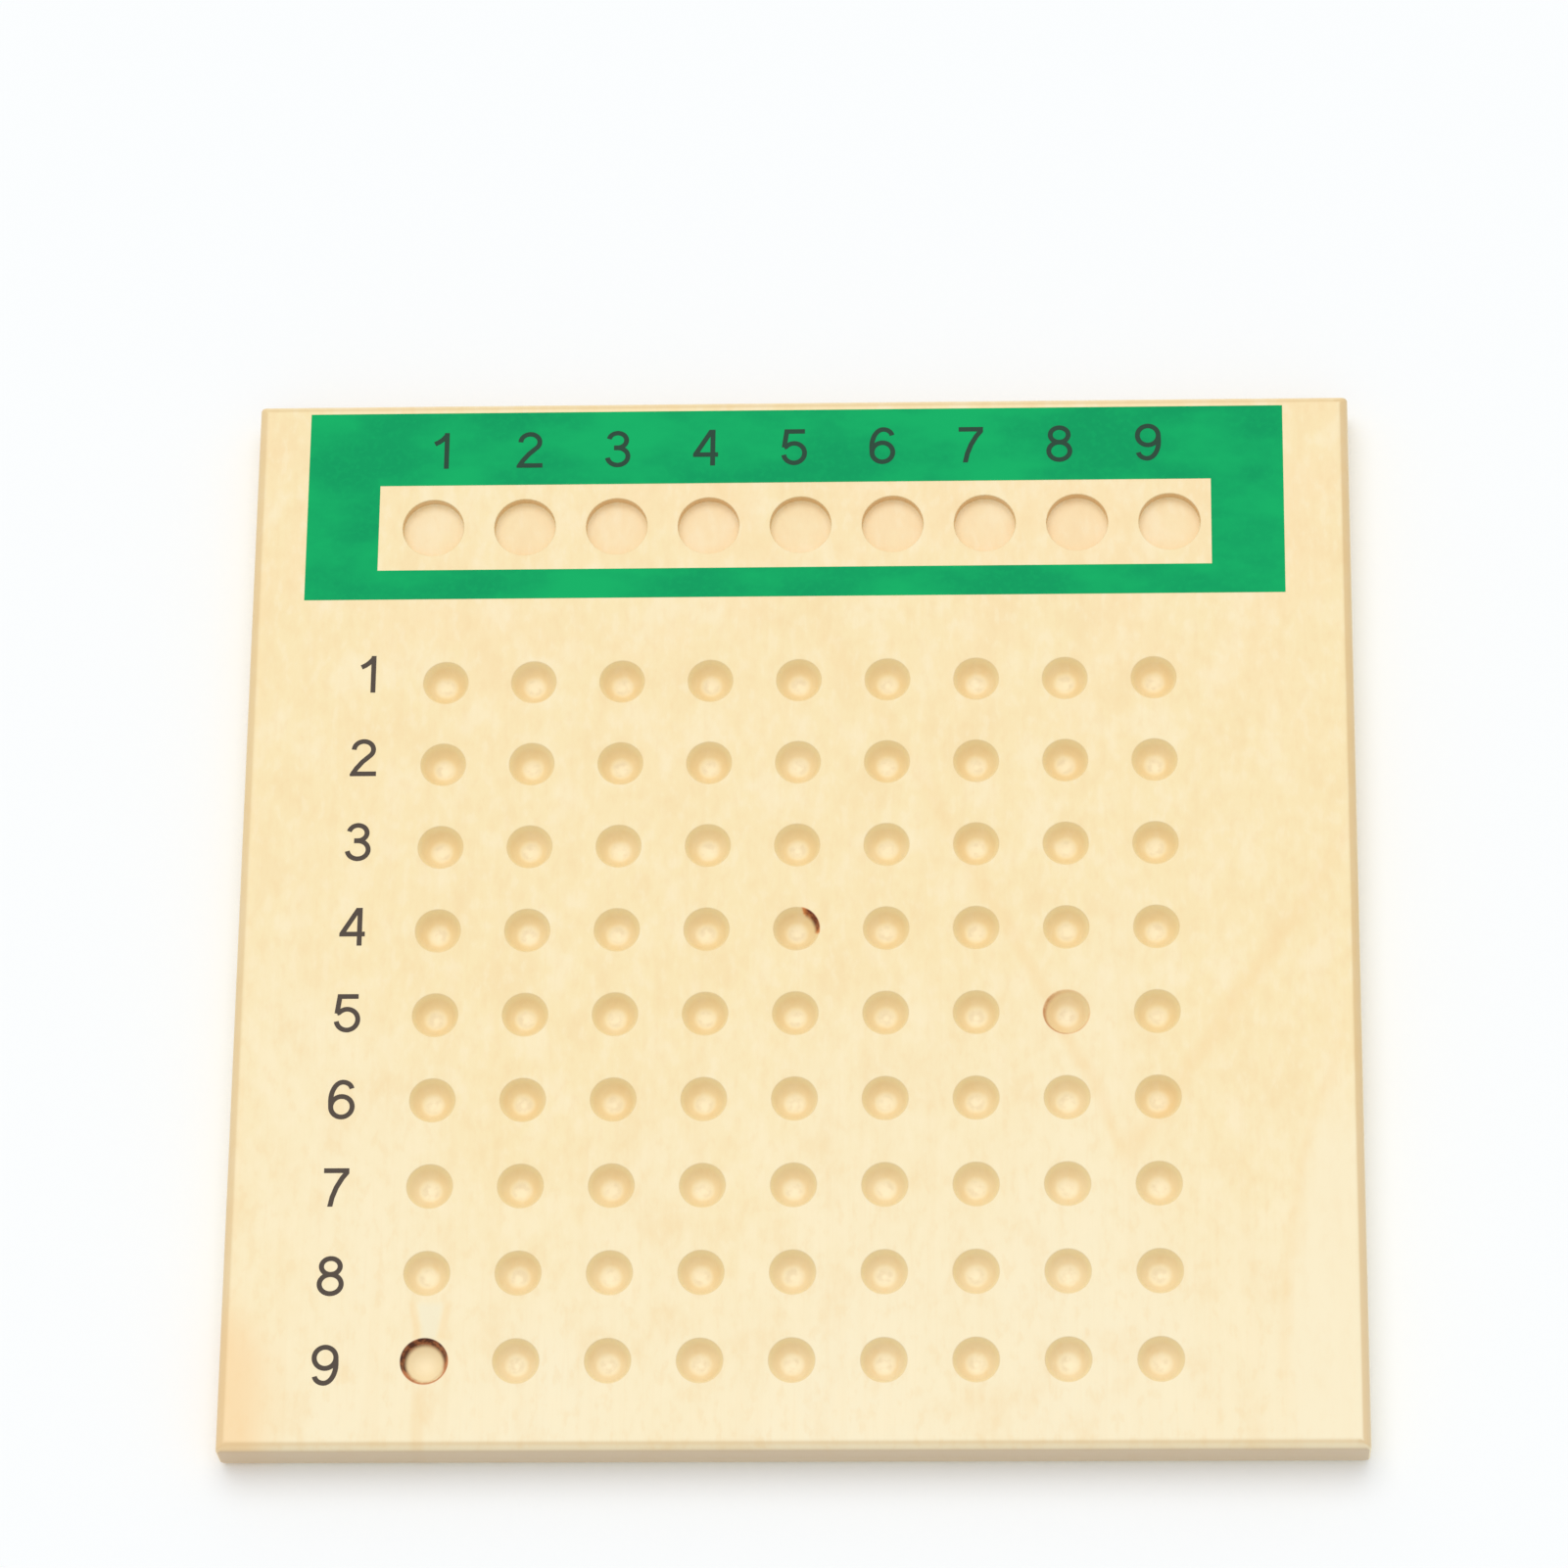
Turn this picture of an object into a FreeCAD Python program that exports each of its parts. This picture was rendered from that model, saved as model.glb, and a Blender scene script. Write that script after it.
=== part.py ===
"""Bead board: a square wooden tablet with a grid of ball-shaped hollows for beads,
a row of flat-bottomed pockets behind them and a green printed band round that row.

Frame: millimetres, +Z up, +X to the right along a row of hollows, +Y to the back of
the board, where the pockets are. The origin is the middle of the underside.
"""

import FreeCAD, Part

import math
import os
import re

import Sketcher

# Driving dimensions, each with the note that goes beside it in the sheet.
SIZES = {
    "hollow_columns": (9, "hollows in a row, and pockets behind them"),
    "hollow_rows": (9, "rows of hollows"),
    "hollow_pitch": (20, "from one hollow's middle to the next, both ways"),
    "hollow_rim": (10.2, "diameter of a hollow at the top face"),
    "hollow_depth": (4, "depth of a hollow at its middle"),
    "side_margin": (45, "outer columns' middles to the board's sides"),
    "front_margin": (20, "front row's middles to the front edge"),
    "back_margin": (70, "back row's middles to the back edge"),
    "board_thickness": (12, "underside to top face"),
    "edge_round": (2, "radius along the edges of the top and the underside"),
    "corner_round": (0.8, "radius of the four upright corners"),
    "pocket_pitch": (21, "from one pocket's middle to the next"),
    "pocket_diameter": (14, "bore of a pocket"),
    "pocket_depth": (2.5, "depth of a pocket's flat floor"),
    "pocket_setback": (31.5, "pockets' middles to the back edge"),
    "strip_end_margin": (4, "bare wood past the outer pockets"),
    "strip_side_margin": (3.6, "bare wood before and behind the pockets"),
    "band_arm_width": (16.5, "printed band beside the bare strip"),
    "band_front_width": (7.2, "printed band before the bare strip"),
    "band_edge_gap": (0.7, "bare wood from the band to the rounded back edge"),
    "print_shift": (1.5, "how far to the left of the middle the band is printed"),
    "print_thickness": (0.1, "film of paint on the wood"),
}

# Sizes and places that follow from them, as expressions in the same words.
BOARD_WIDTH = "((hollow_columns - 1) * hollow_pitch + 2 * side_margin)"
BOARD_DEPTH = "((hollow_rows - 1) * hollow_pitch + front_margin + back_margin)"
FIRST_COLUMN = "(-(hollow_columns - 1) * hollow_pitch / 2)"
FRONT_ROW = f"(-{BOARD_DEPTH} / 2 + front_margin)"
FIRST_POCKET = "(-(hollow_columns - 1) * pocket_pitch / 2)"
POCKET_ROW = f"({BOARD_DEPTH} / 2 - pocket_setback)"
STRIP_HALF_LENGTH = (
    "((hollow_columns - 1) * pocket_pitch / 2 + pocket_diameter / 2 + strip_end_margin)"
)
STRIP_HALF_WIDTH = "(pocket_diameter / 2 + strip_side_margin)"

VOLUME_TOLERANCE = 1e-3  # as a share of the volume
POINT_TOLERANCE = 1e-6


def add_sheet(doc):
    """Puts the driving dimensions in a sheet, one to a row, with an alias each."""
    sheet = doc.addObject("Spreadsheet::Sheet", "Dimensions")
    for row, (alias, (value, note)) in enumerate(SIZES.items(), start=1):
        sheet.set(f"A{row}", alias.replace("_", " "))
        sheet.set(f"B{row}", str(value))
        sheet.set(f"C{row}", note)
        sheet.setAlias(f"B{row}", alias)
    doc.recompute()


def with_cells(expression):
    """An expression in the aliases' words, with each alias as a cell of the sheet."""
    return re.sub(rf"\b({'|'.join(SIZES)})\b", r"Dimensions.\1", expression)


def bind(thing, path, expression):
    """Ties a property to the sheet by such an expression."""
    thing.setExpression(path, with_cells(expression))


def value_of(doc, expression):
    """The number that such an expression comes to now."""
    return doc.getObject("Dimensions").evalExpression(with_cells(expression))


def add_body(doc, name):
    """An empty body whose label is the name of its file."""
    body = doc.addObject("PartDesign::Body", name)
    body.Label = name
    return body


def origin_part(body, role):
    """One of the body's own origin planes or axes, such as XY_Plane or X_Axis."""
    return next(part for part in body.Origin.OriginFeatures if part.Role == role)


def add_sketch(body, name, plane, offsets):
    """A sketch on one of the body's planes, moved from the origin by expressions."""
    sketch = body.newObject("Sketcher::SketchObject", name)
    sketch.AttachmentSupport = [(origin_part(body, plane), "")]
    sketch.MapMode = "FlatFace"
    for direction, expression in offsets.items():
        bind(sketch, f"AttachmentOffset.Base.{direction}", expression)
    return sketch


def set_distance(sketch, kind, ends, expression):
    """A driving distance between two points of a sketch, tied to the sheet."""
    start = value_of(sketch.Document, expression)
    index = sketch.addConstraint(Sketcher.Constraint(kind, *ends, start))
    bind(sketch, f"Constraints[{index}]", expression)


def draw_rectangle(sketch, left, right, front, back):
    """A rectangle given by how far each side lies from the sketch's origin."""
    to_left, to_right, to_front, to_back = (
        value_of(sketch.Document, side) for side in (left, right, front, back)
    )
    corners = [
        (-to_left, -to_front), (to_right, -to_front), (to_right, to_back), (-to_left, to_back)
    ]
    first = len(sketch.Geometry)
    for start, end in zip(corners, corners[1:] + corners[:1]):
        sketch.addGeometry(
            Part.LineSegment(FreeCAD.Vector(*start, 0), FreeCAD.Vector(*end, 0))
        )
    front_line, right_line, back_line, left_line = range(first, first + 4)
    lines = [front_line, right_line, back_line, left_line]
    for line, following in zip(lines, lines[1:] + lines[:1]):
        sketch.addConstraint(Sketcher.Constraint("Coincident", line, 2, following, 1))
    for line in (front_line, back_line):
        sketch.addConstraint(Sketcher.Constraint("Horizontal", line))
    for line in (right_line, left_line):
        sketch.addConstraint(Sketcher.Constraint("Vertical", line))
    set_distance(sketch, "DistanceX", (left_line, 1, -1, 1), left)
    set_distance(sketch, "DistanceX", (-1, 1, right_line, 1), right)
    set_distance(sketch, "DistanceY", (front_line, 1, -1, 1), front)
    set_distance(sketch, "DistanceY", (-1, 1, back_line, 1), back)


def draw_hollow_section(sketch):
    """Half of a hollow's section: its axis, its mouth and the arc of the ball cutter.

    The arc's middle is on the axis, so the rim and the depth give it its radius.
    """
    half_rim = value_of(sketch.Document, "hollow_rim / 2")
    depth = value_of(sketch.Document, "hollow_depth")
    ball = (half_rim**2 + depth**2) / (2 * depth)
    centre = FreeCAD.Vector(0, ball - depth, 0)
    up = FreeCAD.Vector(0, 0, 1)
    rim_turn = math.atan2(depth - ball, half_rim)
    arc = sketch.addGeometry(
        Part.ArcOfCircle(Part.Circle(centre, up, ball), -math.pi / 2, rim_turn)
    )
    axis = sketch.addGeometry(
        Part.LineSegment(FreeCAD.Vector(0, -depth, 0), FreeCAD.Vector(0, 0, 0))
    )
    mouth = sketch.addGeometry(
        Part.LineSegment(FreeCAD.Vector(0, 0, 0), FreeCAD.Vector(half_rim, 0, 0))
    )
    sketch.addConstraint(Sketcher.Constraint("Coincident", axis, 2, -1, 1))
    sketch.addConstraint(Sketcher.Constraint("Coincident", axis, 2, mouth, 1))
    sketch.addConstraint(Sketcher.Constraint("Coincident", axis, 1, arc, 1))
    sketch.addConstraint(Sketcher.Constraint("Coincident", mouth, 2, arc, 2))
    sketch.addConstraint(Sketcher.Constraint("Vertical", axis))
    sketch.addConstraint(Sketcher.Constraint("Horizontal", mouth))
    sketch.addConstraint(Sketcher.Constraint("PointOnObject", arc, 3, -2))
    set_distance(sketch, "DistanceY", (axis, 1, axis, 2), "hollow_depth")
    set_distance(sketch, "DistanceX", (mouth, 1, mouth, 2), "hollow_rim / 2")


def add_row_pattern(body, name, original, spacing):
    """Repeats a cut along the row, once for each column."""
    pattern = body.newObject("PartDesign::LinearPattern", name)
    pattern.Originals = [original]
    pattern.Direction = (origin_part(body, "X_Axis"), [""])
    bind(pattern, "Length", f"(hollow_columns - 1) * {spacing}")
    bind(pattern, "Occurrences", "hollow_columns")
    body.Tip = pattern
    return pattern


def check_cut(doc, before, after, expected):
    """Makes sure that a cut took away the volume that its sizes say."""
    doc.recompute()
    taken = before.Shape.Volume - after.Shape.Volume
    if abs(taken - expected) > VOLUME_TOLERANCE * expected:
        raise ValueError(f"{after.Label} takes {taken:.2f} mm3, not {expected:.2f}")


def is_upright(edge):
    """Whether an edge runs straight up, as those of the slab's corners do."""
    start, end = (vertex.Point for vertex in edge.Vertexes)
    return math.hypot(end.x - start.x, end.y - start.y) < POINT_TOLERANCE


def add_rounding(body, name, before, upright, radius):
    """Rounds the upright edges of a feature, or all but those."""
    rounding = body.newObject("PartDesign::Fillet", name)
    chosen = [
        f"Edge{number}"
        for number, edge in enumerate(before.Shape.Edges, start=1)
        if is_upright(edge) == upright
    ]
    rounding.Base = (before, chosen)
    bind(rounding, "Radius", radius)
    body.Document.recompute()
    return rounding


def make_board(doc):
    """The tablet: a slab with rounded edges, the grid of hollows, the row of pockets."""
    body = add_body(doc, "board")

    outline = add_sketch(body, "BoardOutline", "XY_Plane", {})
    half_width, half_depth = f"{BOARD_WIDTH} / 2", f"{BOARD_DEPTH} / 2"
    draw_rectangle(outline, half_width, half_width, half_depth, half_depth)
    slab = body.newObject("PartDesign::Pad", "Slab")
    slab.Profile = outline
    bind(slab, "Length", "board_thickness")
    doc.recompute()

    routed = add_rounding(body, "RoutedEdges", slab, upright=False, radius="edge_round")
    rounded = add_rounding(body, "EasedCorners", routed, upright=True, radius="corner_round")

    # The section stands in a front-facing plane, which looks along -Y.
    section = add_sketch(
        body,
        "HollowSection",
        "XZ_Plane",
        {"x": FIRST_COLUMN, "y": "board_thickness", "z": f"-{FRONT_ROW}"},
    )
    draw_hollow_section(section)
    hollow = body.newObject("PartDesign::Groove", "Hollow")
    hollow.Profile = section
    hollow.ReferenceAxis = (section, ["V_Axis"])
    hollow.Angle = 360
    rim, depth = (value_of(doc, name) for name in ("hollow_rim", "hollow_depth"))
    cap = math.pi * depth * (3 * (rim / 2) ** 2 + depth**2) / 6
    check_cut(doc, rounded, hollow, cap)

    grid = add_row_pattern(body, "HollowGrid", hollow, "hollow_pitch")
    grid.Direction2 = (origin_part(body, "Y_Axis"), [""])
    bind(grid, "Length2", "(hollow_rows - 1) * hollow_pitch")
    bind(grid, "Occurrences2", "hollow_rows")
    check_cut(doc, rounded, grid, cap * value_of(doc, "hollow_columns * hollow_rows"))

    circle = add_sketch(
        body,
        "PocketOutline",
        "XY_Plane",
        {"x": FIRST_POCKET, "y": POCKET_ROW, "z": "board_thickness"},
    )
    origin, up = FreeCAD.Vector(0, 0, 0), FreeCAD.Vector(0, 0, 1)
    circle.addGeometry(Part.Circle(origin, up, value_of(doc, "pocket_diameter / 2")))
    circle.addConstraint(Sketcher.Constraint("Coincident", 0, 3, -1, 1))
    set_distance(circle, "Diameter", (0,), "pocket_diameter")
    pocket = body.newObject("PartDesign::Pocket", "Pocket")
    pocket.Profile = circle
    bind(pocket, "Length", "pocket_depth")
    disc = math.pi / 4 * value_of(doc, "pocket_diameter ^ 2 * pocket_depth")
    check_cut(doc, grid, pocket, disc)

    row = add_row_pattern(body, "PocketRow", pocket, "pocket_pitch")
    check_cut(doc, grid, row, disc * value_of(doc, "hollow_columns"))
    return body


def make_band(doc):
    """The printed field: a flat frame of paint round the bare strip of the pockets.

    Its sketch is centred on the pocket row, so the strip keeps its margins there.
    """
    body = add_body(doc, "green_band")
    outline = add_sketch(
        body,
        "BandOutline",
        "XY_Plane",
        {"x": "-print_shift", "y": POCKET_ROW, "z": "board_thickness"},
    )
    arm_end = f"{STRIP_HALF_LENGTH} + band_arm_width"
    draw_rectangle(
        outline,
        left=arm_end,
        right=arm_end,
        front=f"{STRIP_HALF_WIDTH} + band_front_width",
        back="pocket_setback - edge_round - band_edge_gap",
    )
    draw_rectangle(
        outline,
        left=STRIP_HALF_LENGTH,
        right=STRIP_HALF_LENGTH,
        front=STRIP_HALF_WIDTH,
        back=STRIP_HALF_WIDTH,
    )
    film = body.newObject("PartDesign::Pad", "Film")
    film.Profile = outline
    bind(film, "Length", "print_thickness")
    doc.recompute()
    return body


def check_document(doc):
    """Stops before anything is written if a feature failed or a shape is broken."""
    for thing in doc.Objects:
        if {"Invalid", "Error"} & set(thing.State):
            raise ValueError(f"{thing.Label} failed: {thing.State}")


def export(bodies):
    """Writes one file for each body, named after its label."""
    os.makedirs("parts", exist_ok=True)
    for body in bodies:
        shape = body.Shape
        if shape.isNull() or not shape.isValid() or len(shape.Solids) != 1:
            raise ValueError(f"{body.Label} is not one sound solid")
        shape.exportStep(os.path.join("parts", f"{body.Label}.step"))
        box = shape.BoundBox
        print(
            f"{body.Label}: {box.XLength:.2f} x {box.YLength:.2f} x {box.ZLength:.2f} mm,",
            f"{shape.Volume:.1f} mm3, {len(shape.Faces)} faces",
        )


doc = FreeCAD.newDocument("BeadBoard")
add_sheet(doc)
bodies = [make_board(doc), make_band(doc)]
check_document(doc)
export(bodies)
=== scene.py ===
# Bead board: a square wooden tablet with ball hollows for beads, a row of round pockets
# and a green printed band, with plain numerals along two sides.
import math

import bmesh
import bpy
from mathutils import Matrix, Vector


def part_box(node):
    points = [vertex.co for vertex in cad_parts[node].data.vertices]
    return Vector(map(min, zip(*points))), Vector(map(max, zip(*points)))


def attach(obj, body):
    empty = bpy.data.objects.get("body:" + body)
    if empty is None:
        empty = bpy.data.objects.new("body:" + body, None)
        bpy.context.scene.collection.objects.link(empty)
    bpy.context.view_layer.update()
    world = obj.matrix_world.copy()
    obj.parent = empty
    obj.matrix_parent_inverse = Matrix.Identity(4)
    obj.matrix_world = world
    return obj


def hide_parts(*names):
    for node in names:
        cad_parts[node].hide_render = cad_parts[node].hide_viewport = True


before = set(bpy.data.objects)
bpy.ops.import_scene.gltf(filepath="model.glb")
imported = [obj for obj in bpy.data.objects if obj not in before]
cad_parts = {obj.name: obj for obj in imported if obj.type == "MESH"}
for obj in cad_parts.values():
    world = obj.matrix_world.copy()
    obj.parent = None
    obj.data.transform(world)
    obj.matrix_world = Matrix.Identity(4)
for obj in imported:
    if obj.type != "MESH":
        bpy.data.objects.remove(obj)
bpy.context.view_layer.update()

boardLow, boardHigh = (Vector(corner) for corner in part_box("board"))
bandLow, bandHigh = (Vector(corner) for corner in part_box("green_band"))

mm = 0.001
near = 0.01 * mm  # a point this near to a line or a level counts as on it


# Small helpers for modelling

def clearSelection():
    bpy.ops.object.select_all(action="DESELECT")


def openPiece(name):
    # takes the primitive just added, moves its place into its mesh and opens it
    piece = bpy.context.object
    piece.name = name
    piece.data.name = name
    bpy.ops.object.transform_apply(location=True, rotation=True, scale=True)
    bpy.ops.object.mode_set(mode="EDIT")
    bpy.ops.mesh.select_all(action="SELECT")
    return piece


def closePiece():
    bpy.ops.object.mode_set(mode="OBJECT")


def activate(piece):
    clearSelection()
    piece.select_set(True)
    bpy.context.view_layer.objects.active = piece


def pickEdges(piece, wanted):
    bpy.ops.mesh.select_mode(type="EDGE")
    bpy.ops.mesh.select_all(action="DESELECT")
    mesh = bmesh.from_edit_mesh(piece.data)
    for edge in mesh.edges:
        if wanted(edge):
            edge.select_set(True)
    bmesh.update_edit_mesh(piece.data)


def pickFaces(piece, wanted):
    bpy.ops.mesh.select_mode(type="FACE")
    bpy.ops.mesh.select_all(action="DESELECT")
    mesh = bmesh.from_edit_mesh(piece.data)
    for face in mesh.faces:
        if wanted(face):
            face.select_set(True)
    bmesh.update_edit_mesh(piece.data)


def middleOf(edge):
    return (edge.verts[0].co + edge.verts[1].co) / 2


def atHeight(edge, height):
    return all(abs(vert.co.z - height) < near for vert in edge.verts)


def finishModifier(piece, kind, **settings):
    activate(piece)
    bpy.ops.object.modifier_add(type=kind)
    modifier = piece.modifiers[-1]
    for name, value in settings.items():
        setattr(modifier, name, value)
    bpy.ops.object.modifier_apply(modifier=modifier.name)


def repeatPiece(piece, count, step):
    finishModifier(
        piece, "ARRAY", count=count, use_relative_offset=False, use_constant_offset=True,
        constant_offset_displace=step, use_merge_vertices=True, merge_threshold=near,
    )


def joinPieces(target, others):
    clearSelection()
    for other in others:
        other.select_set(True)
    target.select_set(True)
    bpy.context.view_layer.objects.active = target
    bpy.ops.object.join()


# The board: one tile with a hollow and one with a pocket are modelled, repeated over the
# top face, joined by strips of faces, and the slab is drawn down from their outline.

board = {
    "columns": 9,
    "rows": 9,
    "pitch": 20 * mm,
    "frontMargin": 20 * mm,  # front row's middles to the front edge
    "rim": 10.2 * mm,  # across a hollow at the top face
    "depth": 4 * mm,
    "pocketPitch": 21 * mm,
    "pocketBore": 14 * mm,
    "pocketDepth": 2.5 * mm,
    "pocketSetback": 31.5 * mm,  # pockets' middles to the back edge
    "tileSides": 40,  # points round each hollow and pocket
    "ballRings": 9,
    "rimRound": 0.25 * mm,  # sanded rims
    "floorRound": 0.35 * mm,  # where a pocket's wall meets its floor
    "edgeRound": 2.5 * mm,
    "cornerRound": 0.8 * mm,  # the four upright corners
    "edgeSteps": 6,
}
firstColumn = -(board["columns"] - 1) * board["pitch"] / 2
frontRow = boardLow.y + board["frontMargin"]
firstPocket = -(board["columns"] - 1) * board["pocketPitch"] / 2
pocketRow = boardHigh.y - board["pocketSetback"]


def openTile(name, size, x, y):
    # an empty square of edges, as many as the hole in it will have
    bpy.ops.mesh.primitive_plane_add(size=size, location=(x, y, boardHigh.z))
    tile = openPiece(name)
    bpy.ops.mesh.delete(type="ONLY_FACE")
    bpy.ops.mesh.select_all(action="SELECT")
    bpy.ops.mesh.subdivide(number_cuts=board["tileSides"] // 4 - 1)
    return tile


def softenRing(tile, x, y, height, radius, width, steps):
    def onRing(edge):
        return atHeight(edge, height) and all(
            abs(math.hypot(vert.co.x - x, vert.co.y - y) - radius) < near
            for vert in edge.verts
        )

    pickEdges(tile, onRing)
    bpy.ops.mesh.bevel(offset=width, segments=steps, affect="EDGES")


def rimmedTile(name, size, x, y, radius):
    # a flat square tile with a round hole; leaves the hole's edge selected
    tile = openTile(name, size, x, y)
    bpy.ops.mesh.primitive_circle_add(
        vertices=board["tileSides"], radius=radius, location=(x, y, boardHigh.z)
    )
    pickEdges(tile, lambda edge: True)
    bpy.ops.mesh.bridge_edge_loops()
    middle = Vector((x, y, boardHigh.z))
    pickEdges(tile, lambda edge: (middleOf(edge) - middle).length < radius)
    return tile


def makeHollowTile():
    x, y, top = firstColumn, frontRow, boardHigh.z
    radius, depth = board["rim"] / 2, board["depth"]
    ball = (radius**2 + depth**2) / (2 * depth)
    tile = rimmedTile("hollow_tile", board["pitch"], x, y, radius)
    slope = math.asin(radius / ball)
    turns = [slope * (1 - ring / board["ballRings"]) for ring in range(board["ballRings"])]
    for upper, lower in zip(turns, turns[1:]):
        drop = ball * (math.cos(upper) - math.cos(lower))
        bpy.ops.mesh.extrude_edges_move(TRANSFORM_OT_translate={"value": (0, 0, drop)})
        narrow = math.sin(lower) / math.sin(upper)
        bpy.ops.transform.resize(value=(narrow, narrow, 1), center_override=(x, y, 0))
    drop = ball * (math.cos(turns[-1]) - 1)
    bpy.ops.mesh.extrude_edges_move(TRANSFORM_OT_translate={"value": (0, 0, drop)})
    bpy.ops.mesh.merge(type="CENTER")
    softenRing(tile, x, y, top, radius, board["rimRound"], 2)
    closePiece()
    return tile


def makePocketTile():
    x, y, top = firstPocket, pocketRow, boardHigh.z
    radius, floor = board["pocketBore"] / 2, top - board["pocketDepth"]
    tile = rimmedTile("pocket_tile", board["pocketPitch"], x, y, radius)
    bpy.ops.mesh.extrude_edges_move(
        TRANSFORM_OT_translate={"value": (0, 0, floor - top)}
    )
    bpy.ops.mesh.fill_grid(span=board["tileSides"] // 4)
    softenRing(tile, x, y, top, radius, board["rimRound"], 2)
    softenRing(tile, x, y, floor, radius, board["floorRound"], 3)
    closePiece()
    return tile


def extendTo(piece, wanted, axis, place):
    # draws loose edges out to a straight line across the board
    pickEdges(piece, lambda edge: len(edge.link_faces) == 1 and wanted(middleOf(edge)))
    side = [0.0, 0.0, 0.0]
    side[axis] = math.copysign(mm, place)
    bpy.ops.mesh.extrude_edges_move(TRANSFORM_OT_translate={"value": side})
    flat = [1.0, 1.0, 1.0]
    flat[axis] = 0.0
    line = [0.0, 0.0, 0.0]
    line[axis] = place
    bpy.ops.transform.resize(value=flat, center_override=line)


def onOutline(vert):
    return (
        abs(abs(vert.co.x) - boardHigh.x) < near or abs(abs(vert.co.y) - boardHigh.y) < near
    )


def isUpright(edge):
    return abs(edge.verts[0].co.z - edge.verts[1].co.z) > near


def onOuterEdge(edge):
    # the twelve edges of the slab
    first, second = edge.verts
    if isUpright(edge):
        return all(
            abs(abs(vert.co.x) - boardHigh.x) < near
            and abs(abs(vert.co.y) - boardHigh.y) < near
            for vert in edge.verts
        )
    place = middleOf(edge)
    onLine = abs(abs(place.x) - boardHigh.x) < near or abs(abs(place.y) - boardHigh.y) < near
    return onLine and onOutline(first) and onOutline(second)


def makeBoard():
    top = boardHigh.z
    piece = makeHollowTile()
    repeatPiece(piece, board["columns"], (board["pitch"], 0, 0))
    repeatPiece(piece, board["rows"], (0, board["pitch"], 0))
    pockets = makePocketTile()
    repeatPiece(pockets, board["columns"], (board["pocketPitch"], 0, 0))
    joinPieces(piece, [pockets])
    piece.name = piece.data.name = "wooden_board"

    backOfGrid = frontRow + (board["rows"] - 0.5) * board["pitch"]
    frontOfGrid = frontRow - board["pitch"] / 2
    frontOfPockets = pocketRow - board["pocketPitch"] / 2
    backOfPockets = pocketRow + board["pocketPitch"] / 2
    sideOfGrid = abs(firstColumn) + board["pitch"] / 2

    bpy.ops.object.mode_set(mode="EDIT")
    pickEdges(
        piece,
        lambda edge: len(edge.link_faces) == 1
        and any(abs(middleOf(edge).y - line) < near for line in (backOfGrid, frontOfPockets)),
    )
    bpy.ops.mesh.bridge_edge_loops()
    extendTo(
        piece, lambda place: place.x < near - sideOfGrid and place.y < backOfPockets - near,
        0, boardLow.x,
    )
    extendTo(
        piece, lambda place: place.x > sideOfGrid - near and place.y < backOfPockets - near,
        0, boardHigh.x,
    )
    extendTo(piece, lambda place: place.y < frontOfGrid + near, 1, boardLow.y)
    extendTo(piece, lambda place: place.y > backOfPockets - near, 1, boardHigh.y)
    pickEdges(piece, lambda edge: len(edge.link_faces) == 1)
    bpy.ops.mesh.extrude_edges_move(
        TRANSFORM_OT_translate={"value": (0, 0, boardLow.z - top)}
    )
    edgesAcross = board["columns"] * board["tileSides"] // 4 + 2
    bpy.ops.mesh.fill_grid(span=edgesAcross)
    bpy.ops.mesh.select_all(action="SELECT")
    bpy.ops.mesh.normals_make_consistent(inside=False)
    for upright, radius in ((False, board["edgeRound"]), (True, board["cornerRound"])):
        pickEdges(piece, lambda edge: onOuterEdge(edge) and isUpright(edge) == upright)
        bpy.ops.transform.edge_bevelweight(value=radius / board["edgeRound"])
    closePiece()
    finishModifier(
        piece, "BEVEL", width=board["edgeRound"], segments=board["edgeSteps"],
        limit_method="WEIGHT",
    )
    activate(piece)
    bpy.ops.object.shade_smooth()
    finishModifier(piece, "WEIGHTED_NORMAL", mode="FACE_AREA", weight=50)
    return piece


# Print: the band's film and the numerals are thin solids on the wood, so their edges stay
# crisp at any distance.

band = {
    "film": 0.06 * mm,
    "opening": ((-96.5 * mm, 82.9 * mm), (93.5 * mm, 104.1 * mm)),  # the bare strip
}


def makeBand():
    middle = (bandLow + bandHigh) / 2
    size = bandHigh - bandLow
    bpy.ops.mesh.primitive_plane_add(size=1, location=(middle.x, middle.y, bandLow.z))
    piece = openPiece("band_film")
    bpy.ops.transform.resize(
        value=(size.x, size.y, 1), center_override=(middle.x, middle.y, bandLow.z)
    )
    low, high = band["opening"]
    for corner in (low, high):
        for side in ((1, 0, 0), (0, 1, 0)):
            bpy.ops.mesh.select_all(action="SELECT")
            bpy.ops.mesh.bisect(plane_co=(*corner, 0), plane_no=side)

    def inOpening(face):
        place = face.calc_center_median()
        return low[0] < place.x < high[0] and low[1] < place.y < high[1]

    pickFaces(piece, inOpening)
    bpy.ops.mesh.delete(type="FACE")
    bpy.ops.mesh.select_all(action="SELECT")
    bpy.ops.mesh.extrude_region_move(
        TRANSFORM_OT_translate={"value": (0, 0, band["film"])}
    )
    bpy.ops.mesh.select_all(action="SELECT")
    bpy.ops.mesh.normals_make_consistent(inside=False)
    closePiece()
    return piece


def arc(x, y, across, along, start, end):
    # points of an arc about (x, y), its angles in degrees
    steps = max(2, round(abs(end - start) / 10))
    turns = [math.radians(start + (end - start) * step / steps) for step in range(steps + 1)]
    return [(x + across * math.cos(turn), y + along * math.sin(turn)) for turn in turns]


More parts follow.
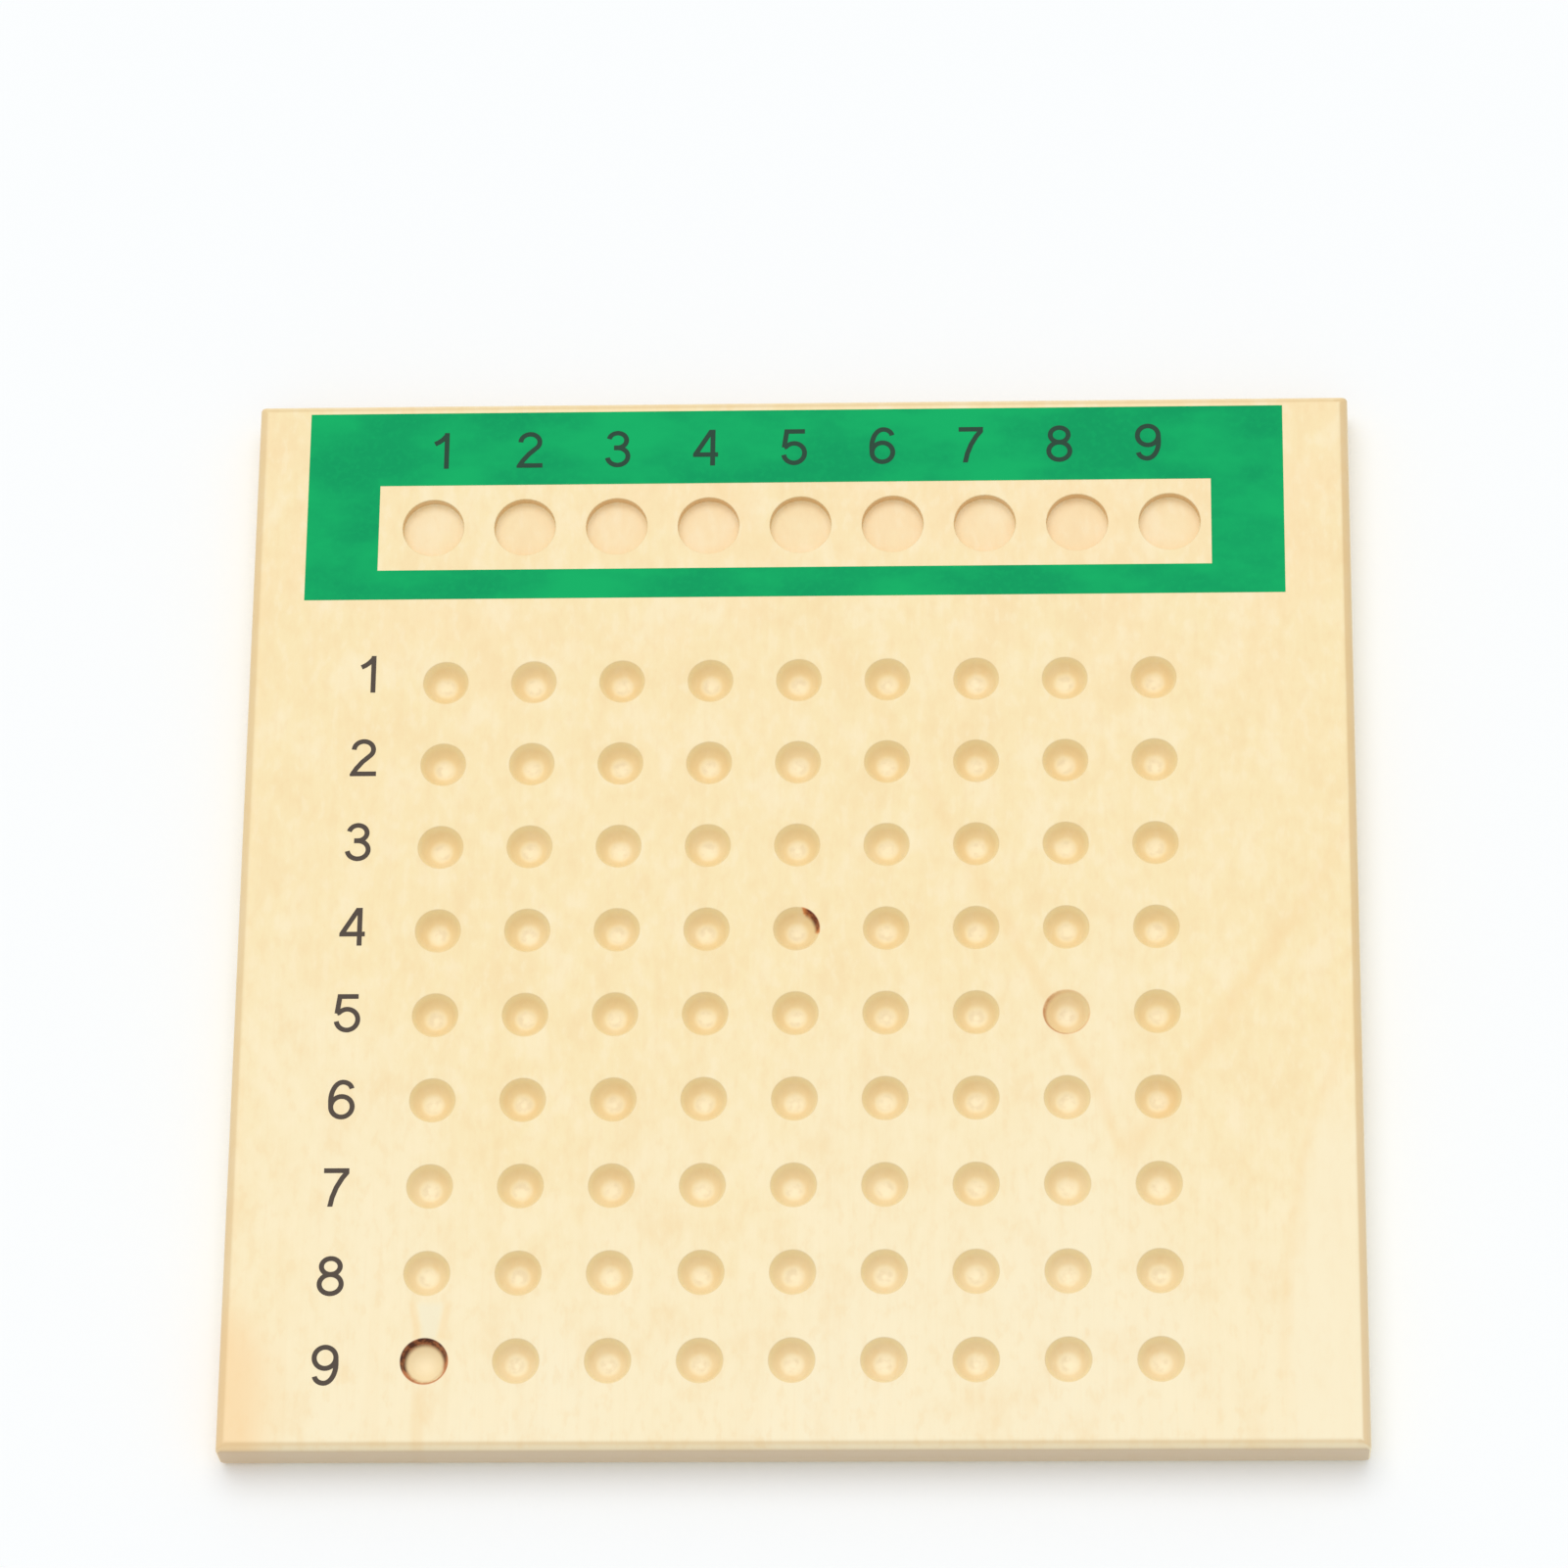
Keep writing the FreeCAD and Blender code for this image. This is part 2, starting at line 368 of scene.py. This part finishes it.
# Strokes of each numeral in units of its height, from the middle of its foot, and the
# straight lines that trim it once its strokes are joined: left, foot, right, head.
strokes = {
    1: [[(0.122, -0.05), (0.122, 1.05)], arc(-0.425, 1.291, 0.647, 0.647, -68, -29)],
    2: [
        arc(0.005, 0.715, 0.243, 0.222, 180, -50) + arc(1.153, -0.748, 1.63, 1.63, 127.5, 153),
        [(-0.30, 0.061), (0.34, 0.061)],
    ],
    3: [
        arc(-0.007, 0.7345, 0.225, 0.2045, 168, -90) + [(-0.1, 0.53)],
        [(-0.1, 0.5235)] + arc(-0.002, 0.2835, 0.262, 0.2395, 90, -172),
    ],
    4: [[(0.175, 1.03), (-0.27, 0.306), (0.31, 0.306)], [(0.175, -0.05), (0.175, 1.05)]],
    5: [
        [(0.27, 0.924), (-0.192, 0.924), (-0.252, 0.478)],
        [(-0.252, 0.478)] + arc(0, 0.3175, 0.268, 0.2735, 138, -170),
    ],
    6: [
        arc(0.018, 0.747, 0.229, 0.203, 10, 90)
        + arc(0.018, 0.4755, 0.289, 0.4745, 90, 180)
        + [(-0.265, 0.31)],
        arc(0, 0.3105, 0.265, 0.2665, 0, 360),
    ],
    7: [
        [(-0.31, 0.924), (0.33, 0.924)],
        arc(1.5855, -0.2436, 1.743, 1.743, 137, 173),
    ],
    8: [arc(0, 0.737, 0.229, 0.202, 0, 360), arc(0, 0.287, 0.268, 0.243, 0, 360)],
}
strokes[9] = [[(-x, 1 - y) for x, y in stroke] for stroke in strokes[6]]
trims = {
    1: (None, 0, 0.183, 1),
    2: (-0.33, 0, 0.33, None),
    4: (-0.325, 0, None, 1),
    7: (None, 0, 0.31, 0.985),
}
printing = {
    "height": 9 * mm,
    "stroke": 0.123,  # of the height, like the two below
    "merge": 0.001,  # points of a stroke this near become one
    "weld": 0.0005,  # and points of a joined numeral
    "ink": 0.04 * mm,
    "bandMiddle": (-1.65 * mm, 113.05 * mm),
    "bandStep": (20.23 * mm, 0.06 * mm),
    "sideMiddle": (-99.6 * mm, -24.3 * mm),
    "sideStep": (-0.5 * mm, -20.39 * mm),
}


def makeStroke(points):
    # a line of edges from point to point, raised to a ribbon and thickened
    bpy.ops.mesh.primitive_plane_add(size=1, location=(*points[0], 0))
    piece = openPiece("stroke")
    bpy.ops.mesh.select_mode(type="VERT")
    bpy.ops.mesh.merge(type="CENTER")
    for (fromX, fromY), (toX, toY) in zip(points, points[1:]):
        bpy.ops.mesh.extrude_vertices_move(
            TRANSFORM_OT_translate={"value": (toX - fromX, toY - fromY, 0)}
        )
    bpy.ops.mesh.select_all(action="SELECT")
    bpy.ops.mesh.remove_doubles(threshold=printing["merge"])
    bpy.ops.mesh.extrude_edges_move(TRANSFORM_OT_translate={"value": (0, 0, 1)})
    closePiece()
    finishModifier(
        piece, "SOLIDIFY", thickness=printing["stroke"], offset=0, use_even_offset=True
    )
    return piece


def trimNumeral(limits):
    for facing, limit in zip(((-1, 0, 0), (0, -1, 0), (1, 0, 0), (0, 1, 0)), limits):
        if limit is not None:
            bpy.ops.mesh.select_all(action="SELECT")
            bpy.ops.mesh.bisect(
                plane_co=(limit, limit, 0), plane_no=facing, use_fill=True, clear_outer=True
            )


def makeNumeral(digit):
    piece, *others = (makeStroke(points) for points in strokes[digit])
    for other in others:
        finishModifier(piece, "BOOLEAN", operation="UNION", solver="EXACT", object=other)
        activate(other)
        bpy.ops.object.delete()
    activate(piece)
    bpy.ops.object.mode_set(mode="EDIT")
    trimNumeral(trims.get(digit, ()))
    bpy.ops.mesh.select_all(action="SELECT")
    bpy.ops.mesh.remove_doubles(threshold=printing["weld"])
    bpy.ops.mesh.dissolve_degenerate(threshold=printing["weld"])
    bpy.ops.mesh.select_all(action="SELECT")
    bpy.ops.mesh.normals_make_consistent(inside=False)
    closePiece()
    return piece


def placeNumeral(numeral, x, y, low):
    activate(numeral)
    bpy.ops.object.duplicate()
    piece = bpy.context.object
    piece.scale = (printing["height"], printing["height"], printing["ink"])
    piece.location = (x, y - printing["height"] / 2, low)
    bpy.ops.object.transform_apply(location=True, rotation=True, scale=True)
    return piece


def makeNumerals():
    overBand, besideRows = [], []
    rows = (
        (overBand, "bandMiddle", "bandStep", bandLow.z + band["film"]),
        (besideRows, "sideMiddle", "sideStep", boardHigh.z),
    )
    for digit in range(1, board["columns"] + 1):
        numeral = makeNumeral(digit)
        fromMiddle = digit - (board["columns"] + 1) / 2
        for made, middle, step, low in rows:
            x, y = (
                start + fromMiddle * along
                for start, along in zip(printing[middle], printing[step])
            )
            made.append(placeNumeral(numeral, x, y, low))
        activate(numeral)
        bpy.ops.object.delete()
    for name, pieces in (("band_numerals", overBand), ("side_numerals", besideRows)):
        joinPieces(pieces[0], pieces[1:])
        pieces[0].name = pieces[0].data.name = name
    return overBand[0], besideRows[0]


# Materials

def tone(red, green, blue):
    # a colour as it is read off a screen, for a shader
    parts = (part / 255 for part in (red, green, blue))
    return (*(p / 12.92 if p <= 0.04045 else ((p + 0.055) / 1.055) ** 2.4 for p in parts), 1.0)


def addNode(tree, kind, inputs, **settings):
    node = tree.nodes.new(kind)
    for name, value in settings.items():
        setattr(node, name, value)
    for name, value in inputs.items():
        if isinstance(value, bpy.types.NodeSocket):
            tree.links.new(value, node.inputs[name])
        else:
            node.inputs[name].default_value = value
    return node


def calc(tree, operation, *values):
    return addNode(
        tree, "ShaderNodeMath", dict(enumerate(values)), operation=operation
    ).outputs[0]


def ease(tree, value, start, end, low=0.0, high=1.0):
    # low up to start, high from end on, with a smooth change between them
    node = addNode(
        tree, "ShaderNodeMapRange",
        {"Value": value, "From Min": start, "From Max": end, "To Min": low, "To Max": high},
        interpolation_type="SMOOTHSTEP",
    )
    return node.outputs["Result"]


def both(tree, *amounts):
    # all the amounts multiplied, as a mask that needs every one of them
    total = amounts[0]
    for amount in amounts[1:]:
        total = calc(tree, "MULTIPLY", total, amount)
    return total


def blend(tree, amount, under, over):
    node = addNode(tree, "ShaderNodeMix", {0: amount, 6: under, 7: over}, data_type="RGBA")
    return node.outputs[2]


def noise(tree, place, stretch, size, detail=2.0, seed=0.0):
    # soft noise of about this size in mm, drawn out by stretch along each axis
    scaled = addNode(
        tree, "ShaderNodeMapping",
        {"Vector": place, "Location": (seed, seed, seed), "Scale": [1 / s for s in stretch]},
    )
    node = addNode(
        tree, "ShaderNodeTexNoise",
        {"Vector": scaled.outputs[0], "Scale": 1 / size, "Detail": detail, "Roughness": 0.55},
    )
    return node.outputs[0]


def openMaterial(name, roughness, reflection):
    material = bpy.data.materials.new(name)
    material.use_nodes = True
    shader = material.node_tree.nodes["Principled BSDF"]
    shader.inputs["Roughness"].default_value = roughness
    shader.inputs["Specular IOR Level"].default_value = reflection
    return material, shader


def placeOn(tree):
    # the place on the piece, in mm
    coordinates = addNode(tree, "ShaderNodeTexCoord", {})
    return addNode(
        tree, "ShaderNodeVectorMath",
        {0: coordinates.outputs["Object"], 1: (1 / mm, 1 / mm, 1 / mm)}, operation="MULTIPLY",
    ).outputs[0]


def axesOf(tree, vector):
    return addNode(tree, "ShaderNodeSeparateXYZ", {0: vector}).outputs[:3]


# The wood. From here on, places and sizes in materials are in mm.

wood = {
    "roughness": 0.42,
    "reflection": 0.4,
    "warm": (247, 227, 177),
    "cream": (248, 235, 200),
    "pale": (250, 235, 197),
    "peach": (249, 222, 174),
    "tan": (242, 212, 158),
    "line": (244, 207, 146),
    "stain": (247, 212, 158),
    "drop": (242, 233, 202),
    # for the hollows: the cut wood's tan with painted shade on the walls, painted light on the
    # steepest parts, a painted highlight on the bottoms
    "wallTanAndShade": (231, 192, 126),
    "litSteepWall": (255, 237, 184),
    "litBottom": (247, 237, 207),
    "nick": (226, 206, 166),
    # for the pockets' walls: the cut wood's tan with painted shade
    "pocketWallTanAndShade": (208, 152, 90),
    "pocketFloor": (250, 225, 188),
    # end grain's tone and the rounding's burnish, both with painted shade
    "endGrainAndShade": (204, 180, 149),
    "burnishAndShade": (216, 180, 126),
}
grain = {
    # stretch along each axis, size, detail, seed
    "broad": ((1.0, 1.6, 1.0), 45, 3.0, 0.0),
    "patches": ((1.0, 1.3, 1.0), 25, 3.0, 17.0),
    "mottle": ((1.0, 1.6, 1.0), 9, 4.0, 23.0),
    "flecks": ((1.0, 2.0, 1.0), 2.4, 3.0, 29.0),
    "streaks": ((1.0, 28.0, 1.0), 5, 3.0, 3.0),
    "fibres": ((1.0, 22.0, 1.0), 0.9, 2.0, 7.0),
}
overlays = (
    # noise, where it starts and is full, how much, tone
    ("mottle", (0.5, 0.7), 0.3, "tan"),
    ("mottle", (0.5, 0.32), 0.5, "pale"),
    ("flecks", (0.5, 0.7), 0.26, "tan"),
    ("flecks", (0.5, 0.32), 0.4, "pale"),
    ("streaks", (0.45, 0.75), 0.15, "tan"),
    ("fibres", (0.5, 0.8), 0.12, "tan"),
)
creamy = {
    "span": (80, 230),  # of the wandering noise less y, where cream starts and is full
    "wander": 160,  # how far the broad noise moves it
    "left": 12.0,  # more of it at the left side
    "right": -20.0,  # less at the right
}
figure = {
    "tip": (72.3, -61.0),  # where the arch of a ring closes to the front
    "tipRound": 3.0,
    "steepness": (3.6, 1.55),  # of the arch, left and right of its tip
    "bow": (0.85, 1.0),  # the power of its rise, left and right
    "archWidth": 6.5,
    "wander": 8.0,  # how far noise bends both rings
    "sideLine": (107.0, -95.0),  # a second ring is straight from the front to here
    "sideBend": 0.0033,  # and turns to the right behind it
}
marks = {
    "stainEdge": -124.5,
    "stainReach": (1.0, 13.0),  # behind and in front
    "runMiddle": -81.0,
    "dropMiddle": -79.0,
    "dropHalf": (1.5, 2.7),  # half its width in front and behind
}
burns = (
    # window: cosines of the turn from the direction, where a ring starts and is full
    # inner: the ring's inner edge where it is full
    {
        "middle": (-80, -105), "direction": 115, "window": (-2.2, 0.7), "inner": 4.15,
        # the last tone is painted light for the floor inside this ring
        "light": (206, 126, 74), "dark": (72, 14, 2), "litBottom": (255, 238, 194),
    },
    {
        "middle": (0, -5), "direction": 32, "window": (0.6, 1.0), "inner": 4.2,
        "light": (220, 138, 76), "dark": (100, 24, 3),
    },
    {
        "middle": (60, -25), "direction": 216, "window": (-1.6, 1.05), "inner": 4.6,
        "light": (247, 212, 160), "dark": (210, 154, 104),
    },
)


def awayFrom(tree, x, y, middle):
    # how far a place is from a middle, and its parts
    across, along = (calc(tree, "SUBTRACT", part, at) for part, at in zip((x, y), middle))
    squares = calc(tree, "MULTIPLY_ADD", across, across, calc(tree, "MULTIPLY", along, along))
    return calc(tree, "SQRT", squares), across, along


def paintGrain(tree, place, x, y):
    # broad tones, from warm at the back to cream in front, and their mottling
    made = {name: noise(tree, place, *settings) for name, settings in grain.items()}
    toFront = calc(
        tree, "MULTIPLY_ADD", made["broad"], creamy["wander"], calc(tree, "MULTIPLY", y, -1.0)
    )
    atLeft = both(
        tree, ease(tree, x, -70, -112, 0.0, creamy["left"]), ease(tree, y, -100, -75)
    )
    aside = calc(tree, "ADD", atLeft, ease(tree, x, 60, 120, 0.0, creamy["right"]))
    creamed = ease(tree, calc(tree, "ADD", toFront, aside), *creamy["span"])
    colour = blend(tree, creamed, tone(*wood["warm"]), tone(*wood["cream"]))
    pinker = both(
        tree, ease(tree, y, 0, 110), ease(tree, made["patches"], 0.4, 0.65, 0.0, 0.6)
    )
    colour = blend(tree, pinker, colour, tone(*wood["peach"]))
    for name, span, most, shade in overlays:
        amount = ease(tree, made[name], *span, 0.0, most)
        colour = blend(tree, amount, colour, tone(*wood[shade]))
    return colour


def paintFigure(tree, place, x, y, colour):
    # an annual ring cut along the plank shows as an arch that is open to the back
    warp = noise(tree, place, (1.0, 1.5, 1.0), 22, seed=11.0)
    wander = figure["wander"]
    wavyX = calc(tree, "ADD", x, calc(tree, "MULTIPLY_ADD", warp, wander, -wander / 2))
    tipX, tipY = figure["tip"]
    across = calc(tree, "SUBTRACT", wavyX, tipX)
    away = calc(tree, "SQRT", calc(tree, "MULTIPLY_ADD", across, across, figure["tipRound"]))
    steepness = ease(tree, across, -4, 4, *figure["steepness"])
    bow = calc(tree, "POWER", away, ease(tree, across, -4, 4, *figure["bow"]))
    rise = calc(tree, "MULTIPLY", bow, steepness)
    off = calc(tree, "SUBTRACT", rise, calc(tree, "SUBTRACT", y, tipY))
    arch = both(
        tree, ease(tree, calc(tree, "ABSOLUTE", off), figure["archWidth"], 0),
        ease(tree, y, 50, -20, 0.15, 0.28),
    )
    colour = blend(tree, arch, colour, tone(*wood["line"]))

    # a second one runs along the right side, with paler wood beyond it
    lineX, lineY = figure["sideLine"]
    bend = calc(tree, "MAXIMUM", calc(tree, "SUBTRACT", y, lineY), 0.0)
    beyond = calc(
        tree, "SUBTRACT", calc(tree, "SUBTRACT", wavyX, lineX),
        calc(tree, "MULTIPLY", calc(tree, "MULTIPLY", bend, bend), figure["sideBend"]),
    )
    line = both(
        tree, ease(tree, calc(tree, "ABSOLUTE", beyond), 2.4, 0.2),
        ease(tree, y, -10, -40, 0.0, 0.16), ease(tree, y, -120, -100),
    )
    colour = blend(tree, line, colour, tone(*wood["line"]))
    paler = both(tree, ease(tree, beyond, -1, 4, 0.0, 0.6), ease(tree, y, -35, -60))
    return blend(tree, paler, colour, tone(*wood["cream"])), wavyX


def paintMarks(tree, x, y, wavyX, colour):
    # a stain spreads from the left edge, and another runs out of the burnt hollow
    reach = ease(tree, y, -84, -108, *marks["stainReach"])
    spread = calc(tree, "SUBTRACT", calc(tree, "SUBTRACT", wavyX, marks["stainEdge"]), reach)
    stained = ease(tree, spread, 4, -10, 0.0, 0.75)
    colour = blend(tree, stained, colour, tone(*wood["stain"]))
    fromRun = calc(tree, "ABSOLUTE", calc(tree, "SUBTRACT", x, marks["runMiddle"]))
    run = both(tree, ease(tree, fromRun, 2.2, 0.6), ease(tree, y, -109, -113, 0.0, 0.4))
    colour = blend(tree, run, colour, tone(*wood["tan"]))

    # a pale drop behind the burnt hollow, with darker sides
    fromDrop = calc(tree, "ABSOLUTE", calc(tree, "SUBTRACT", x, marks["dropMiddle"]))
    past = calc(tree, "SUBTRACT", fromDrop, ease(tree, y, -100, -91, *marks["dropHalf"]))
    length = both(tree, ease(tree, y, -90.5, -93), ease(tree, y, -101, -99))
    drop = both(tree, length, ease(tree, past, 0.8, -0.8, 0.0, 0.75))
    beside = calc(tree, "ABSOLUTE", calc(tree, "SUBTRACT", past, 1.2))
    sides = both(tree, length, ease(tree, beside, 1.3, 0.2, 0.0, 0.3))
    colour = blend(tree, drop, colour, tone(*wood["drop"]))
    return blend(tree, sides, colour, tone(*wood["line"]))


def paintCuts(tree, place, x, y, z, facingZ, colour):
    # hollows and pockets: the cut wood shows a deeper tone, and their walls also carry painted
    # shade; the hollows get painted light on their steepest parts and a painted highlight on
    # their bottoms
    top, edge, half = boardHigh.z / mm, boardHigh.x / mm, board["pitch"] / mm / 2
    # under the top face, away from the outer edges and the underside
    inside = both(
        tree, ease(tree, calc(tree, "ABSOLUTE", x), edge - 6, edge - 7),
        ease(tree, calc(tree, "ABSOLUTE", y), edge - 6, edge - 7),
        ease(tree, z, top, top - 0.2), ease(tree, z, top - 5, top - 4.1),
    )
    inPockets = ease(tree, y, 70, 75)
    inHollows = calc(tree, "SUBTRACT", 1.0, inPockets)
    slanting = both(tree, ease(tree, facingZ, 0.2, 0.6), ease(tree, facingZ, 0.95, 0.8), 0.35)
    flat = ease(tree, facingZ, 0.84, 0.99)
    for amount, shade in (
        # painted shade on the hollows' walls, over the cut wood's tan
        (both(tree, inHollows, slanting), "wallTanAndShade"),
        # painted light on the steepest parts of the hollows, against their shade
        (both(tree, inHollows, ease(tree, facingZ, 0.7, 0.35), 0.6), "litSteepWall"),
        # painted highlight on the hollows' bottoms
        (both(tree, inHollows, flat, 0.6), "litBottom"),
        # painted shade on the pockets' walls, over the cut wood's tan
        (both(tree, inPockets, ease(tree, facingZ, 0.5, 0.1), 0.45), "pocketWallTanAndShade"),
        (both(tree, inPockets, flat, 0.2), "pocketFloor"),
    ):
        colour = blend(tree, both(tree, inside, amount), colour, tone(*wood[shade]))

    # the cutter's tip left a rough ring; each place is measured from the nearest hollow
    fromX, fromY = (
        calc(tree, "WRAP", calc(tree, "SUBTRACT", part, first / mm), half, -half)
        for part, first in ((x, firstColumn), (y, frontRow))
    )
    out = awayFrom(tree, fromX, fromY, (0.0, 0.0))[0]
    rough = noise(tree, place, (1.0, 1.0, 1.0), 2.6, seed=31.0)
    nick = both(
        tree, inside, inHollows, ease(tree, out, 2.4, 1.3), ease(tree, out, 0.2, 1.0),
        ease(tree, rough, 0.4, 0.65, 0.0, 0.5),
    )
    return blend(tree, nick, colour, tone(*wood["nick"]))


def paintEdges(tree, x, y, facing, colour):
    flatTo = (boardHigh.x - board["edgeRound"]) / mm  # where the top face ends
    alongX, alongY = (calc(tree, "ABSOLUTE", part) for part in (x, y))
    endOn, facingZ = calc(tree, "ABSOLUTE", facing[1]), facing[2]
    # the front and back faces get end grain's darker tone, deepened by painted shade
    ends = both(
        tree, ease(tree, endOn, 0.8, 0.98), ease(tree, alongY, flatTo - 1.5, flatTo + 0.5), 0.8
    )
    colour = blend(tree, ends, colour, tone(*wood["endGrainAndShade"]))
    # the rounding is darkened, partly burnish and partly painted shade, most of all at the right,
    # the side turned from the light
    rim = ease(tree, calc(tree, "MAXIMUM", alongX, alongY), flatTo - 0.3, flatTo)
    turned = both(
        tree, rim, ease(tree, facingZ, 1.0, 0.93), ease(tree, facingZ, 0.1, 0.6),
        ease(tree, endOn, 0.4, 0.7, 1.0, 0.3),
    )
    strength = ease(tree, x, flatTo - 1, flatTo, 0.4, 0.6)
    return blend(tree, both(tree, turned, strength), colour, tone(*wood["burnishAndShade"]))


def paintBurns(tree, place, x, y, colour):
    # rings under the rim, deepest in one direction
    rim = board["rim"] / mm / 2
    for burn in burns:
        away, across, along = awayFrom(tree, x, y, burn["middle"])
        turn = math.radians(burn["direction"])
        ahead = calc(
            tree, "MULTIPLY_ADD", across, math.cos(turn),
            calc(tree, "MULTIPLY", along, math.sin(turn)),
        )
        toward = calc(tree, "DIVIDE", ahead, calc(tree, "MAXIMUM", away, 0.01))
        char = noise(tree, place, (1.0, 1.0, 1.0), 2.2, detail=3.0, seed=burn["middle"][0])
        uneven = ease(tree, char, 0.32, 0.62, 0.62, 1.0)
        depth = both(tree, ease(tree, toward, *burn["window"]), uneven)
        reach = ease(tree, depth, 0.0, 0.6, rim, burn["inner"])
        ring = both(
            tree, ease(tree, calc(tree, "SUBTRACT", away, reach), -0.45, 0.45),
            ease(tree, away, rim + 0.35, rim), ease(tree, depth, 0.0, 0.3),
        )
        charred = ease(tree, depth, 0.35, 0.95)
        scorch = blend(tree, charred, tone(*burn["light"]), tone(*burn["dark"]))
        if "litBottom" in burn:  # painted light: the floor inside the ring is made paler, standing in for light the dark ring keeps from it
            paler = ease(tree, away, 4.2, 3.4, 0.0, 0.8)
            colour = blend(tree, paler, colour, tone(*burn["litBottom"]))
        colour = blend(tree, ring, colour, scorch)
    return colour


def paintWood():
    material, shader = openMaterial("birch", wood["roughness"], wood["reflection"])
    tree = material.node_tree
    place = placeOn(tree)
    x, y, z = axesOf(tree, place)
    facing = axesOf(tree, addNode(tree, "ShaderNodeNewGeometry", {}).outputs["Normal"])
    colour = paintGrain(tree, place, x, y)
    colour, wavyX = paintFigure(tree, place, x, y, colour)
    colour = paintMarks(tree, x, y, wavyX, colour)
    colour = paintCuts(tree, place, x, y, z, facing[2], colour)
    colour = paintEdges(tree, x, y, facing, colour)
    colour = paintBurns(tree, place, x, y, colour)
    tree.links.new(colour, shader.inputs["Base Color"])
    return material


# The paint and the inks

green = {
    "roughness": 0.45,
    "reflection": 0.03,
    "deep": (15, 158, 96),
    "light": (20, 178, 103),
    "broadSize": 14,
    "fineSize": 1.4,
}
ink = {
    "roughness": 0.5,
    "reflection": 0.25,
    "onWood": (74, 62, 51),
    "onGreen": (6, 57, 36),
}


def paintGreen():
    material, shader = openMaterial("green", green["roughness"], green["reflection"])
    tree = material.node_tree
    place = placeOn(tree)
    broad = noise(tree, place, (2.0, 1.0, 1.0), green["broadSize"], detail=3.0)
    fine = noise(tree, place, (1.0, 1.0, 1.0), green["fineSize"], detail=3.0, seed=5.0)
    deep, light = tone(*green["deep"]), tone(*green["light"])
    colour = blend(tree, ease(tree, broad, 0.34, 0.66), deep, light)
    colour = blend(tree, ease(tree, fine, 0.45, 0.7, 0.0, 0.3), colour, light)
    tree.links.new(colour, shader.inputs["Base Color"])
    return material


def paintPlain(name, roughness, reflection, colour):
    material, shader = openMaterial(name, roughness, reflection)
    shader.inputs["Base Color"].default_value = tone(*colour)
    return material


def wear(piece, material):
    piece.data.materials.clear()
    piece.data.materials.append(material)


# Floor, light and camera

studio = {
    "floorSize": 3.0,
    "floor": (252, 254, 255),
    "floorRoughness": 0.9,
    "sun": 1.12,
    "sunFrom": (-0.07, 0.32, 0.94),
    "sunWidth": 55,  # degrees
    "sky": 0.66,  # on the piece; what is seen of it is white
}
camera = {
    "place": (0.06598, -0.52730, 1.38806),
    "aim": (-0.00309, 0.02971, 0.0120),
    "roll": -6.97,  # degrees, about the line of sight
    "lens": 152.05,
}


def makeFloor():
    bpy.ops.mesh.primitive_plane_add(size=studio["floorSize"], location=(0, 0, boardLow.z))
    floor = openPiece("floor")
    closePiece()
    wear(floor, paintPlain("backdrop", studio["floorRoughness"], 0.0, studio["floor"]))
    return floor


def makeLight():
    bpy.ops.object.light_add(type="SUN", location=(0, 0, 1))
    sun = bpy.context.object
    sun.name = "soft_light"
    sun.data.energy = studio["sun"]
    sun.data.angle = math.radians(studio["sunWidth"])
    sun.rotation_euler = Vector(studio["sunFrom"]).to_track_quat("Z", "Y").to_euler()
    world = bpy.data.worlds.new("studio")
    bpy.context.scene.world = world
    world.use_nodes = True
    tree = world.node_tree
    rays = addNode(tree, "ShaderNodeLightPath", {}).outputs
    seen = calc(tree, "MAXIMUM", rays["Is Camera Ray"], rays["Is Glossy Ray"])
    seen = calc(tree, "MAXIMUM", seen, rays["Is Transmission Ray"])
    level = calc(tree, "MULTIPLY_ADD", seen, 1 - studio["sky"], studio["sky"])
    tree.links.new(level, tree.nodes["Background"].inputs["Strength"])
    tree.nodes["Background"].inputs["Color"].default_value = (1, 1, 1, 1)


def makeCamera():
    bpy.ops.object.camera_add(location=camera["place"])
    made = bpy.context.object
    made.data.lens = camera["lens"]
    sight = Vector(camera["aim"]) - Vector(camera["place"])
    straight = sight.to_track_quat("-Z", "Y").to_matrix().to_4x4()
    roll = Matrix.Rotation(math.radians(camera["roll"]), 4, "Z")
    made.matrix_world = Matrix.Translation(camera["place"]) @ straight @ roll
    bpy.context.scene.camera = made


clearSelection()
woodenBoard = makeBoard()
print("board modelled:", len(woodenBoard.data.polygons), "faces")
bandFilm = makeBand()
bandNumerals, sideNumerals = makeNumerals()
print("print modelled:", [len(p.data.polygons) for p in (bandFilm, bandNumerals, sideNumerals)])

wear(woodenBoard, paintWood())
wear(bandFilm, paintGreen())
for piece, name, shade in (
    (bandNumerals, "ink_on_green", "onGreen"), (sideNumerals, "ink_on_wood", "onWood")
):
    wear(piece, paintPlain(name, ink["roughness"], ink["reflection"], ink[shade]))
print("materials made")

makeFloor()
makeLight()
makeCamera()
bpy.context.scene.view_settings.view_transform = "Standard"
print("light and camera set")

for piece, slot in (
    (woodenBoard, "wood"), (bandFilm, "green_paint"), (bandNumerals, "ink"), (sideNumerals, "ink")
):
    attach(piece, "root")
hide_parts("board")
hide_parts("green_band")
